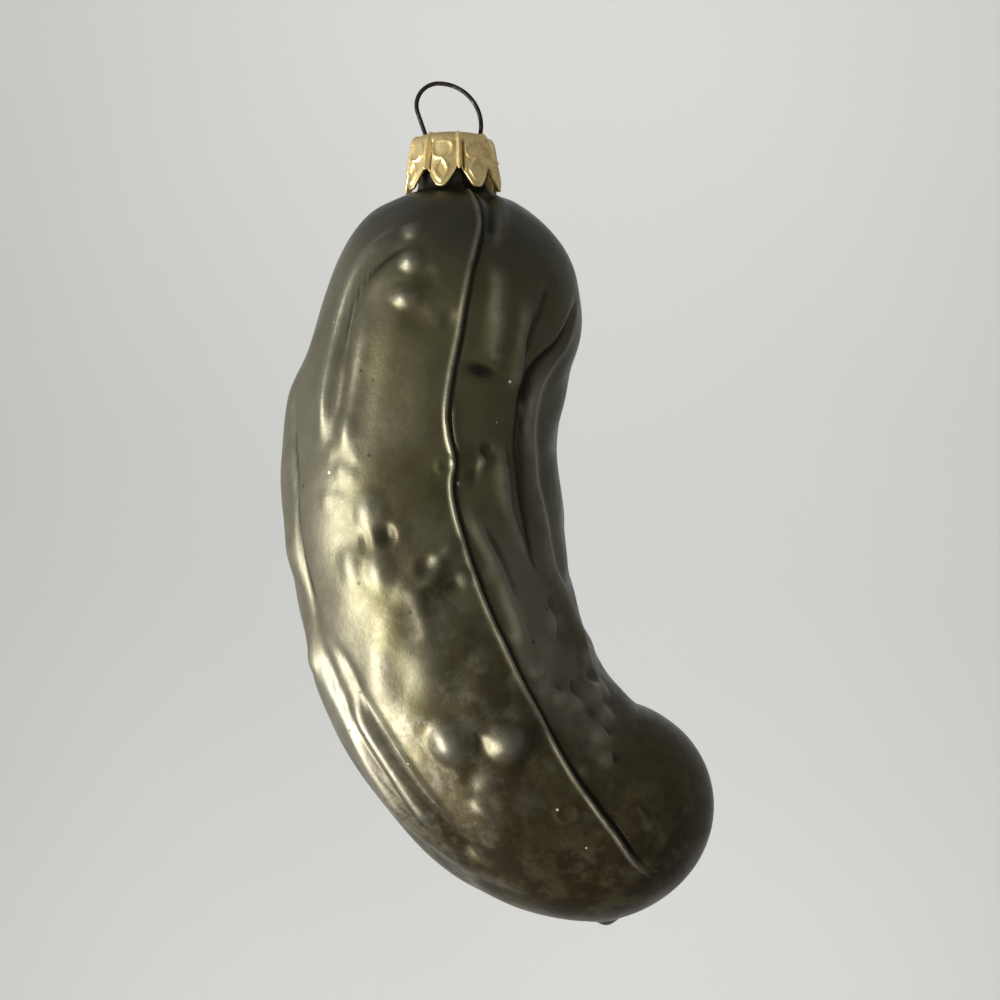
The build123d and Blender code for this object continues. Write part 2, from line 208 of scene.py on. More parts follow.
# The groove beside the seam: its distance and half width, and the length over which both end, in mm
GROOVE_ASIDE = 0.58
GROOVE_WIDTH = 0.25
SEAM_FADE = 6.0

# The glass's grid: columns in half a turn, how closely they gather at the seams, and rows of its two faces
HALF_COLUMNS = 142
SEAM_GATHER = 0.5
SKIN_ROWS = 282
HOLLOW_ROWS = 40

# Rows of the neck: its bore, its lip, its outside, and the curve that spreads to the shoulder
BORE_ROWS = 6
LIP_ROWS = 5
NECK_ROWS = 8
SPREAD_ROWS = 7

# Where the skin's rows start and end on the two domes, in degrees from each dome's widest section
SHOULDER_ANGLE = 66.0
TAIL_ANGLE = 88.8

# The lower end of the neck's bore: its depth under the neck's foot, and its flare, in mm
BORE_DEPTH = 0.5
BORE_FLARE = 0.25

# The curve from the neck to the shoulder: heights of its start and its corner over the neck's foot, in mm
SPREAD_START = 1.2
SPREAD_CORNER = -0.3

# Heights between which brown painted shade gathers under the body, the worn and highlighted crests end above
# the tip, and the tip darkens
UNDERSIDE = (-82.0 * MM, -106.0 * MM)
TIP_WEAR = (-113.5 * MM, -110.0 * MM)
TIP_DARK = (-113.2 * MM, -114.2 * MM)

# Outlines stamped on each petal: (half width, half height, depth of the middle under the top, power), in mm
SQUARE = (1.38, 1.3, 2.55, 2.6)
LOZENGE = (0.92, 1.5, 5.45, 1.3)

# Beads along those outlines: (size of the outline, half width of the bead), in mm
SQUARE_BEAD = (1.3, 0.17)
LOZENGE_BEAD = (0.8, 0.15)

# The fields inside the outlines sink between these levels, where 1 is the outline itself
FIELD = (0.85, 0.6)

# The rim, the folds and the slits, in mm: distance from the lower edge or the fold's middle, and half width
RIM_ASIDE = 0.2
RIM_WIDTH = 0.14
FOLD_WIDTH = 0.25
SLIT_ASIDE = 0.55
SLIT_WIDTH = 0.13

# Depths under the cap's top over which parts of the stamping set in, in mm
SQUARE_START = (1.2, 2.1)
SWELL_START = (0.4, 2.0)
FOLD_START = (-0.1, 0.5)
SLIT_START = (1.0, 1.8)

# The cap's finer stamping, in mm: fields sunk in the outlines, the rim, the petals' swell and the slits
SQUARE_SINK = 0.07
LOZENGE_SINK = 0.09
RIM_RISE = 0.09
PETAL_SWELL = 0.12
SLIT_DEPTH = 0.3

# The cap's grid: columns across a petal, how closely they gather at the folds, and rows of the rounded edge
PETAL_COLUMNS = 44
FOLD_GATHER = 0.4
EDGE_ROWS = 8

# The rows of the cap's top start at this radius, in mm, and close on the middle
TOP_START = 0.3

# The cylinders that cut the wire holes reach this far above and below the cap's top, in mm
HOLE_REACH = 0.8

# Lamps on the backdrop: (name, height of the lamp, height that it faces), their distance and size, in metres
BACKDROP_LAMPS = (("upper_backdrop_light", 0.35, 0.10), ("lower_backdrop_light", -0.47, -0.22))
BACKDROP_LAMP_DISTANCE = 0.30
BACKDROP_LAMP_SIZE = (0.8, 0.2)

# Spread of the tall lamp's light and of the backdrop lamps' light, in degrees
KEY_SPREAD = 110.0
BACKDROP_SPREAD = 170.0


class PickleGlassSettings(bpy.types.PropertyGroup):
    """Sizes and lacquer colours of the blown glass"""

    neck_radius: FloatProperty(name="Neck Radius", description="Outer radius of the neck",
                               default=4.75 * MM, unit="LENGTH")
    neck_length: FloatProperty(name="Neck Length", description="Length of the neck above the shoulder",
                               default=7.1 * MM, unit="LENGTH")
    wall: FloatProperty(name="Neck Wall", description="Thickness of the glass at the neck",
                        default=0.7 * MM, unit="LENGTH")
    body_wall: FloatProperty(name="Body Wall", description="Depth of the hollow's face under the skin",
                             default=1.5 * MM, unit="LENGTH")
    depth_ratio: FloatProperty(name="Depth Ratio", description="Depth of the body over its width",
                               default=0.94, subtype="FACTOR")
    lean: FloatProperty(name="Shoulder Lean", description="Lean of the body's axis at the shoulder",
                        default=np.radians(19.4), subtype="ANGLE")
    upper_bend: FloatProperty(name="Upper Bend", description="Radius of the upper bend of the axis",
                              default=69.0 * MM, unit="LENGTH")
    upper_turn: FloatProperty(name="Upper Turn", description="Angle of the upper bend of the axis",
                              default=np.radians(41.5), subtype="ANGLE")
    lower_bend: FloatProperty(name="Lower Bend", description="Radius of the lower bend of the axis",
                              default=30.0 * MM, unit="LENGTH")
    lower_turn: FloatProperty(name="Lower Turn", description="Angle of the lower bend of the axis",
                              default=np.radians(54.0), subtype="ANGLE")
    half_widths: FloatVectorProperty(name="Half Widths", size=5, unit="LENGTH",
                                     description="Half widths at even steps along the axis",
                                     default=[width * MM for width in (17.7, 18.2, 18.6, 17.5, 14.1)])
    seam_rise: FloatProperty(name="Seam Rise", description="Height of the mould seam's bead",
                             default=0.42 * MM, unit="LENGTH")
    seam_width: FloatProperty(name="Seam Width", description="Half width of the mould seam's bead",
                              default=0.34 * MM, unit="LENGTH")
    groove_depth: FloatProperty(name="Groove Depth", description="Depth of the groove beside the seam",
                                default=0.36 * MM, unit="LENGTH")
    lump_rise: FloatProperty(name="Lump Rise", description="Height of the slow waves of the blown wall",
                             default=0.16 * MM, unit="LENGTH")
    olive: FloatVectorProperty(name="Olive", description="Colour of the satin lacquer", subtype="COLOR",
                               size=4, default=(0.092, 0.083, 0.035, 1.0))
    # Pale olive: paler clouds, blotches and worn crests, and also the painted sheen and highlight on the left
    # flank, low on the right and on ridges, warts and the seam's bead
    pale_olive: FloatVectorProperty(name="Pale Olive", description="Lacquer rubbed thin on ridges and warts",
                                    subtype="COLOR", size=4, default=(0.25, 0.235, 0.175, 1.0))
    brown: FloatVectorProperty(name="Brown", description="Brownish mottling of the lower body",
                               subtype="COLOR", size=4, default=(0.076, 0.060, 0.025, 1.0))
    stain: FloatVectorProperty(name="Stain", description="Brown stains where the silvering shows through",
                               subtype="COLOR", size=4, default=(0.030, 0.020, 0.008, 1.0))
    # Painted shade in the creases, dents and the seam's groove; the same colour also darkens the tip
    dirt: FloatVectorProperty(name="Dirt", description="Darkness that has settled in the creases",
                              subtype="COLOR", size=4, default=(0.010, 0.009, 0.006, 1.0))
    # Dark colour: darker round the shoulder, painted as shade down the right side away from the light, and
    # the colour of the dark pits
    charcoal: FloatVectorProperty(name="Charcoal", description="Dark shade sprayed round the shoulder",
                                  subtype="COLOR", size=4, default=(0.038, 0.038, 0.030, 1.0))
    speck: FloatVectorProperty(name="Speck", description="Stray white specks in the lacquer",
                               subtype="COLOR", size=4, default=(0.85, 0.84, 0.78, 1.0))


class PickleCapSettings(bpy.types.PropertyGroup):
    """Sizes and colours of the stamped cap"""

    petals: IntProperty(name="Petals", description="Leaf petals round the cap", default=8, min=3,
                        subtype="UNSIGNED")
    turn: FloatProperty(name="Turn", description="Turn of the front petal from the front",
                        default=np.radians(-13.0), subtype="ANGLE")
    top_radius: FloatProperty(name="Top Radius", description="Radius of the cap's top",
                              default=5.2 * MM, unit="LENGTH")
    flare: FloatProperty(name="Flare", description="Growth of the radius from the top to the petals' tips",
                         default=1.3 * MM, unit="LENGTH")
    emboss: FloatProperty(name="Emboss", description="Height of the stamped outlines on the petals",
                          default=0.26 * MM, unit="LENGTH")
    fold_rise: FloatProperty(name="Fold Rise", description="Height of the pinched folds between the petals",
                             default=0.42 * MM, unit="LENGTH")
    sheet: FloatProperty(name="Sheet", description="Thickness of the stamped sheet",
                         default=0.28 * MM, unit="LENGTH")
    edge_radius: FloatProperty(name="Edge Radius", description="Radius of the rounded top edge",
                               default=1.5 * MM, unit="LENGTH")
    hole_offset: FloatProperty(name="Hole Offset", description="Distance of each wire hole from the axis",
                               default=3.6 * MM, unit="LENGTH")
    hole_radius: FloatProperty(name="Hole Radius", description="Radius of each wire hole",
                               default=0.5 * MM, unit="LENGTH")
    gold: FloatVectorProperty(name="Gold", description="Bright gold of the sheet", subtype="COLOR",
                              size=4, default=(1.0, 0.80, 0.38, 1.0))
    old_gold: FloatVectorProperty(name="Old Gold", description="Duller gold in the hollows", subtype="COLOR",
                                  size=4, default=(0.55, 0.37, 0.13, 1.0))
    # Slit: painted shade in the slits beside the folds
    slit: FloatVectorProperty(name="Slit", description="Dark of the slits beside the folds", subtype="COLOR",
                              size=4, default=(0.05, 0.032, 0.012, 1.0))


class PickleWireSettings(bpy.types.PropertyGroup):
    """Colours of the wire hanger"""

    dark: FloatVectorProperty(name="Dark Wire", description="Oxidised wire", subtype="COLOR", size=4,
                              default=(0.034, 0.027, 0.023, 1.0))
    bare: FloatVectorProperty(name="Bare Wire", description="Wire where the oxide is rubbed", subtype="COLOR",
                              size=4, default=(0.11, 0.09, 0.075, 1.0))


class PickleStageSettings(bpy.types.PropertyGroup):
    """Camera, lamps and the pale stage"""

    camera_place: FloatVectorProperty(name="Camera", description="Place of the camera", subtype="XYZ",
                                      unit="LENGTH", default=(6.44 * MM, -250.0 * MM, -56.4 * MM))
    lens: FloatProperty(name="Lens", description="Focal length in millimetres", default=65.7, unit="CAMERA")
    floor_drop: FloatProperty(name="Floor Drop", description="Height of the floor under the hanging point",
                              default=-0.62, unit="LENGTH")
    backdrop_distance: FloatProperty(name="Backdrop Distance", description="Distance of the backdrop behind",
                                     default=0.75, unit="LENGTH")
    backdrop_width: FloatProperty(name="Backdrop Width", description="Width of the floor and the backdrop",
                                  default=1.1, unit="LENGTH")
    pale: FloatVectorProperty(name="Pale", description="Colour of the floor and backdrop", subtype="COLOR",
                              size=4, default=(0.72, 0.72, 0.70, 1.0))
    key_place: FloatVectorProperty(name="Key Place", description="Place of the tall lamp on the left",
                                   subtype="XYZ", unit="LENGTH", default=(-0.208, -0.120, -0.160))
    key_aim: FloatVectorProperty(name="Key Aim", description="Place that the tall lamp faces",
                                 subtype="XYZ", unit="LENGTH", default=(0.0, 0.0, -0.075))
    key_size: FloatVectorProperty(name="Key Size", description="Width and height of the tall lamp",
                                  size=2, unit="LENGTH", default=(0.08, 0.27))
    key_power: FloatProperty(name="Key", description="Power of the tall lamp on the left",
                             default=0.60, unit="POWER")
    backdrop_power: FloatProperty(name="Backdrop Light", description="Power of each lamp on the backdrop",
                                  default=1.6, unit="POWER")
    world_level: FloatProperty(name="World", description="Strength of the even light all round",
                               default=0.3, subtype="FACTOR")


class PickleSettings(bpy.types.PropertyGroup):
    """All settings of the ornament"""

    glass: PointerProperty(type=PickleGlassSettings, name="Glass", description="The blown glass body")
    cap: PointerProperty(type=PickleCapSettings, name="Cap", description="The stamped crown cap")
    wire: PointerProperty(type=PickleWireSettings, name="Wire", description="The wire hanger")
    stage: PointerProperty(type=PickleStageSettings, name="Stage", description="Camera, lamps and floor")


def smooth(low, high, value):
    """Rises from 0 at low to 1 at high along the curve 3t^2 - 2t^3."""
    share = np.clip((value - low) / (high - low), 0.0, 1.0)
    return share * share * (3.0 - 2.0 * share)


def grid_faces(rows, columns):
    """Four-sided faces of a grid whose columns close round, as rows of vertex numbers."""
    row, column = np.meshgrid(np.arange(rows - 1), np.arange(columns), indexing="ij")
    beside = (column + 1) % columns
    corners = (row * columns + column, (row + 1) * columns + column,
               (row + 1) * columns + beside, row * columns + beside)
    return np.stack(corners, -1).reshape(-1, 4)


def closed_piece(name, grid, attributes):
    """Mesh of a grid of rows round a closed section, in millimetres, with a pole at both ends.

    The first and the last row each close on the mean of their points. Values in attributes have one
    number for each point of the grid."""
    rows, columns, _ = grid.shape
    points = np.concatenate([grid.reshape(-1, 3), [grid[0].mean(0)], [grid[-1].mean(0)]])
    first, last = rows * columns, rows * columns + 1
    column = np.arange(columns)
    beside = (column + 1) % columns
    start = np.stack([np.full(columns, first), column, beside], -1)
    end = np.stack([np.full(columns, last), beside + (rows - 1) * columns, column + (rows - 1) * columns], -1)
    faces = grid_faces(rows, columns).tolist() + start.tolist() + end.tolist()
    mesh = bpy.data.meshes.new(name)
    mesh.from_pydata((points * MM).tolist(), [], faces)
    for key, values in attributes.items():
        filled = np.concatenate([values.ravel(), [values[0].mean(), values[-1].mean()]])
        mesh.attributes.new(key, "FLOAT", "POINT").data.foreach_set("value", filled.astype(np.float32))
    mesh.shade_smooth()
    mesh.update()
    piece = bpy.data.objects.new(name, mesh)
    bpy.context.scene.collection.objects.link(piece)
    return piece


def normals(grid):
    """Unit normals of a grid whose columns close round: the cross product of its two directions."""
    down = np.gradient(grid, axis=0)
    beside = (np.roll(grid, -1, 1) - np.roll(grid, 1, 1)) / 2.0
    cross = np.cross(down, beside)
    return cross / np.maximum(np.linalg.norm(cross, axis=2, keepdims=True), 1e-9)


def line_through(places, along):
    """Degrees round the body, and their slope, of a smooth line through places: a cubic between each pair.

    Each place's slope is that of the chord between its neighbours."""
    spots = np.array(places)
    slopes = np.gradient(spots[:, 1], spots[:, 0])
    inside = np.clip(along, spots[0, 0], spots[-1, 0])
    left = np.clip(np.searchsorted(spots[:, 0], inside) - 1, 0, len(spots) - 2)
    span = spots[left + 1, 0] - spots[left, 0]
    t = (inside - spots[left, 0]) / span
    a, b = spots[left, 1], spots[left + 1, 1]
    c, d = slopes[left] * span, slopes[left + 1] * span
    turn = a * (2 * t**3 - 3 * t**2 + 1) + b * (3 * t**2 - 2 * t**3)
    turn = turn + c * (t**3 - 2 * t**2 + t) + d * (t**3 - t**2)
    slope = ((a - b) * (6 * t**2 - 6 * t) + c * (3 * t**2 - 4 * t + 1) + d * (3 * t**2 - 2 * t)) / span
    return turn, slope


class GlassBody:
    """The glass's base skin: circles and ellipses on a bent axis, with domes at both ends."""

    def __init__(self, glass):
        self.ratio = glass.depth_ratio
        self.lean = glass.lean
        self.bends = (glass.upper_bend / MM, glass.lower_bend / MM)
        self.turns = (glass.upper_turn, glass.lower_turn)
        self.upper = self.bends[0] * self.turns[0]
        self.length = self.upper + self.bends[1] * self.turns[1]
        widths = [width / MM for width in glass.half_widths]
        self.law = np.polyfit(np.linspace(0, 1, len(widths)), widths, len(widths) - 1)
        self.shoulder, self.tail = widths[0], widths[-1]
        self.neck = glass.neck_radius / MM
        self.rim = GLASS_HIGH.z / MM
        self.foot = self.rim - glass.neck_length / MM
        self.start = self.foot - np.sqrt(self.shoulder**2 - self.neck**2)

    def sections(self, along, rise):
        """Centre, heading and half width at places along the body, raised off the skin.

        The axis is two arcs: its heading turns by the length over each bend's radius. The half width is
        the polynomial through the given widths. On the shoulder's dome the axis swings upright, and the
        section shrinks as the sine of the angle from the pole, as it does on the tail's dome."""
        inside = np.clip(along, 0.0, self.length)
        down = np.radians(270.0)
        first = down - self.lean
        second = first + self.turns[0]
        heading = first + np.minimum(inside, self.upper) / self.bends[0]
        heading = heading + np.maximum(inside - self.upper, 0.0) / self.bends[1]
        early, late = np.minimum(heading, second), np.maximum(heading, second)
        x = self.bends[0] * (np.sin(early) - np.sin(first)) + self.bends[1] * (np.sin(late) - np.sin(second))
        z = self.start - self.bends[0] * (np.cos(early) - np.cos(first))
        z = z - self.bends[1] * (np.cos(late) - np.cos(second))
        width = np.polyval(self.law, inside / self.length) + rise
        above, past = along < 0.0, along > self.length
        angle = np.pi / 2 + np.where(above, along / self.shoulder, (self.length - along) / self.tail)
        heading = np.where(above, down - self.lean * angle / (np.pi / 2), heading)
        reach = np.where(above, -(self.shoulder + rise), self.tail + rise) * np.cos(angle) * (above | past)
        x, z = x + np.cos(heading) * reach, z + np.sin(heading) * reach
        dome = np.where(above, self.shoulder + rise, self.tail + rise) * np.sin(angle)
        return x, z, heading, np.where(above | past, dome, width)

    def skin(self, along, around, rise=0.0):
        """Points of the skin at places, as a grid: the section's centre plus its turned half width."""
        x, z, heading, width = self.sections(along, rise)
        turn = np.radians(around)
        right, front = np.sin(turn) * width, np.cos(turn) * width * self.ratio
        return np.stack([x - np.sin(heading) * right, -front, z + np.cos(heading) * right], -1)


def apart(around, middle):
    """Degrees from the middle, between -180 and 180."""
    return (around - middle + 180.0) % 360.0 - 180.0


def glass_relief(glass, body, along, around):
    """Height of the glass over its base skin, in millimetres, with the paleness of its worn crests, also
    painted as highlight, the painted shade of its creases and its stains, at a grid of places.

    Lines: a bell across the line, exp(-(d/w)^2), tapered over its ends. Warts and dents: (1 - q^2)^2
    with q the distance over the half sizes. Rings: a bell across a circle. The seam: a narrow bell with
    a groove on its right. Slow waves: a sum of cosines. The worn paleness, also painted as highlight, is the
    highest share of any crest and the painted shade that of any crease, both narrower than the line itself,
    and a stain is a bell."""
    girth = body.sections(along, 0.0)[3]

    def across(middle, slope=0.0):
        """Millimetres from a line, whose middle is in degrees and whose slope is in degrees per mm."""
        return np.radians(apart(around, middle)) * girth / np.sqrt(1.0 + (np.radians(slope) * girth) ** 2)

    def reach(middle, turn, long, wide):
        """Square of the distance from a place over the half sizes."""
        return ((along - middle) / long) ** 2 + (across(turn) / wide) ** 2

    middle, turn, spread, rise = SWELL
    height = rise * np.exp(-((along - middle) ** 2 + across(turn) ** 2) / spread**2)
    height = height - TAIL_EASE * smooth(body.length, body.length + TAIL_EASE_LENGTH, along)
    wear = np.zeros_like(around)
    dirt = np.zeros_like(around)
    stain = np.zeros_like(around)
    wave = np.zeros_like(around)
    for places, width, rise in LINES:
        first, last = places[0][0], places[-1][0]
        fade = LINE_FADE * (last - first)
        ends = smooth(first, first + fade, along) * smooth(last, last - fade, along)
        share = ends * np.exp(-((across(*line_through(places, along)) / width) ** 2))
        height = height + rise * share
        # Crests turn pale where worn and are painted as highlight; creases get painted shade at their bottom
        wear = np.maximum(wear, np.clip(rise, 0.0, 1.0) * share**2)
        dirt = np.maximum(dirt, np.clip(-rise, 0.0, 1.0) * share**3)
    for middle, turn, long, wide, rise in BUMPS:
        share = (1.0 - np.clip(reach(middle, turn, long, wide), 0.0, 1.0)) ** 2
        height = height + rise * share
        # Warts turn pale where worn and are painted as highlight; dents get painted shade
        wear = np.maximum(wear, np.clip(WART_WEAR * rise, 0.0, 1.0) * share)
        dirt = np.maximum(dirt, np.clip(-DENT_DIRT * rise, 0.0, 1.0) * share)
    for middle, turn, long, wide, strength in STAINS:
        stain = np.maximum(stain, strength * np.exp(-reach(middle, turn, long, wide)))
    for middle, turn, radius, width, rise in RINGS:
        gap = np.hypot(along - middle, across(turn)) - radius
        height = height + rise * np.exp(-((gap / width) ** 2))
    for number, (turns, cycles, weight) in enumerate(WAVES):
        angle = turns * np.radians(around) + 2 * np.pi * cycles * along + WAVE_SHIFT * number
        wave = wave + weight * np.cos(angle)
    wave = wave * smooth(*WAVE_START, along)
    wave = wave * smooth(body.length + WAVE_FADE, body.length - WAVE_FADE, along)
    height = height + glass.lump_rise / MM * wave
    turn, slope = line_through(SEAM, along)
    end = smooth(SEAM[-1][0], SEAM[-1][0] - SEAM_FADE, along)
    for aside in (across(turn, slope), -across(180.0 - turn, slope)):
        ridge = end * np.exp(-((aside / (glass.seam_width / MM)) ** 2))
        groove = end * np.exp(-(((aside - GROOVE_ASIDE) / GROOVE_WIDTH) ** 2))
        height = height + ridge * glass.seam_rise / MM - groove * glass.groove_depth / MM
        # The seam's bead turns pale where worn and is painted as highlight; its groove gets painted shade
        wear = np.maximum(wear, ridge)
        dirt = np.maximum(dirt, groove**2)
    return height * smooth(*RELIEF_START, along), {"wear": wear, "dirt": dirt, "stain": stain}


def glass_grid(glass):
    """Grid of the whole glass, from the hollow's tail up through the neck and down the skin to the tail.

    Columns run round from the front seam to the back seam and on to the front, closer together at the
    seams. Rows of the hollow follow the skin at the body wall's depth, the bore flares at its lower end
    by the square of the depth, the lip is half a circle, and the neck meets the shoulder in a quadratic
    curve."""
    body = GlassBody(glass)
    share = np.linspace(0.0, 1.0, HALF_COLUMNS, endpoint=False)
    share = share - SEAM_GATHER * np.sin(2 * np.pi * share) / (2 * np.pi)

    def columns(along):
        """Degrees round the body of every column, over its right half and then its left half."""
        seam = line_through(SEAM, along)[0]
        right = seam + (180.0 - 2 * seam) * share
        left = 180.0 - seam + (180.0 + 2 * seam) * share
        return np.concatenate([right, left], -1)

    top = -np.radians(SHOULDER_ANGLE) * body.shoulder
    end = body.length + np.radians(TAIL_ANGLE) * body.tail
    along = np.linspace(top, end, SKIN_ROWS)[:, None]
    around = columns(along)
    skin = body.skin(along, around)
    relief, marks = glass_relief(glass, body, along, around)
    skin = skin + normals(skin) * relief[..., None]

    inner_along = np.linspace(end, top, HOLLOW_ROWS)[:, None]
    hollow = body.skin(inner_along, columns(inner_along), -glass.body_wall / MM)
    turn = np.radians(columns(np.array([[top]])))
    circle = np.stack([np.sin(turn), -np.cos(turn), np.zeros_like(turn)], -1)

    def ring(radius, z):
        """A level circle of the neck."""
        return circle * radius + np.array([0.0, 0.0, z])

    wall = glass.wall / MM
    lip_level, lip_radius = body.rim - wall / 2, body.neck - wall / 2
    bore_length = lip_level - body.foot + BORE_DEPTH
    bore = np.concatenate([ring(body.neck - wall + BORE_FLARE * part**2, lip_level - bore_length * part)
                           for part in np.linspace(1.0, 0.0, BORE_ROWS)])
    lip = np.concatenate([ring(lip_radius - wall / 2 * np.cos(a), lip_level + wall / 2 * np.sin(a))
                          for a in np.linspace(0.0, np.pi, LIP_ROWS + 2)[1:-1]])
    neck_levels = np.linspace(lip_level, body.foot + SPREAD_START, NECK_ROWS)
    neck = np.concatenate([ring(body.neck, z) for z in neck_levels])
    corner = ring(body.neck, body.foot + SPREAD_CORNER)
    t = np.linspace(0.0, 1.0, SPREAD_ROWS + 2)[1:-1, None, None]
    spread = (1 - t) ** 2 * neck[-1] + 2 * t * (1 - t) * corner + t**2 * skin[0]
    grid = np.concatenate([hollow, bore, lip, neck, spread, skin])

    def marked(values, before):
        """Values of the skin's points, with one value for all the points before them."""
        return np.concatenate([np.full((len(grid) - len(skin), around.shape[1]), before), values])

    attributes = {name: marked(values, 0.0) for name, values in marks.items()}
    attributes["along"] = marked(np.broadcast_to(along, around.shape), top)
    attributes["side"] = marked(np.sin(np.radians(around)), 0.0)
    return grid, attributes


def link_value(tree, socket, source):
    """Puts a number or a colour on a socket, or links an output to it."""
    if isinstance(source, bpy.types.NodeSocket):
        tree.links.new(source, socket)
    else:
        socket.default_value = source


class Finish:
    """A new procedural material, with short words for the nodes that the finishes here share."""

    def __init__(self, name):
        self.material = bpy.data.materials.new(name)
        self.material.use_nodes = True
        self.tree = self.material.node_tree
        self.shader = self.tree.nodes["Principled BSDF"]
        self.place = self.tree.nodes.new("ShaderNodeTexCoord").outputs["Object"]

    def set(self, **values):
        """Sets the shader's sockets, named with underscores for spaces."""
        for key, value in values.items():
            link_value(self.tree, self.shader.inputs[key.replace("_", " ")], value)

    def noise(self, scale, detail=3.0, roughness=0.5):
        """Cloudy noise on the piece's own coordinates, in cycles per metre."""
        node = self.tree.nodes.new("ShaderNodeTexNoise")
        link_value(self.tree, node.inputs["Vector"], self.place)
        node.inputs["Scale"].default_value = scale
        node.inputs["Detail"].default_value = detail
        node.inputs["Roughness"].default_value = roughness
        return node.outputs["Fac"]

    def cells(self, scale):
        """Distance to the nearest of scattered points on the piece's own coordinates."""
        node = self.tree.nodes.new("ShaderNodeTexVoronoi")
        link_value(self.tree, node.inputs["Vector"], self.place)
        node.inputs["Scale"].default_value = scale
        return node.outputs["Distance"]

    def level(self):
        """Height on the piece's own coordinates, in metres."""
        node = self.tree.nodes.new("ShaderNodeSeparateXYZ")
        link_value(self.tree, node.inputs[0], self.place)
        return node.outputs["Z"]

    def attribute(self, name):
        """A number stored on the piece's points."""
        node = self.tree.nodes.new("ShaderNodeAttribute")
        node.attribute_name = name
        return node.outputs["Fac"]

    def ramp(self, value, low, high, start=0.0, end=1.0):
        """Smooth step of a number from one range to another."""
        node = self.tree.nodes.new("ShaderNodeMapRange")
        node.interpolation_type = "SMOOTHSTEP"
        sockets = {"Value": value, "From Min": low, "From Max": high, "To Min": start, "To Max": end}
        for key, source in sockets.items():
            link_value(self.tree, node.inputs[key], source)
        return node.outputs["Result"]

    def math(self, operation, first, second):
        """One sum, product or other operation on two numbers."""
        node = self.tree.nodes.new("ShaderNodeMath")
        node.operation = operation
        link_value(self.tree, node.inputs[0], first)
        link_value(self.tree, node.inputs[1], second)
        return node.outputs[0]

    def times(self, first, *others):
        """Product of numbers."""
        for other in others:
            first = self.math("MULTIPLY", first, other)
        return first

    def mix(self, share, first, second):
        """Colour between two colours."""
        node = self.tree.nodes.new("ShaderNodeMix")
        node.data_type = "RGBA"
        for socket, source in ((node.inputs[0], share), (node.inputs[6], first), (node.inputs[7], second)):
            link_value(self.tree, socket, source)
        return node.outputs[2]

    def bump(self, height, strength, distance):
        """Fine unevenness under the gloss."""
        node = self.tree.nodes.new("ShaderNodeBump")
        node.inputs["Strength"].default_value = strength
        node.inputs["Distance"].default_value = distance
        link_value(self.tree, node.inputs["Height"], height)
        link_value(self.tree, self.shader.inputs["Normal"], node.outputs["Normal"])


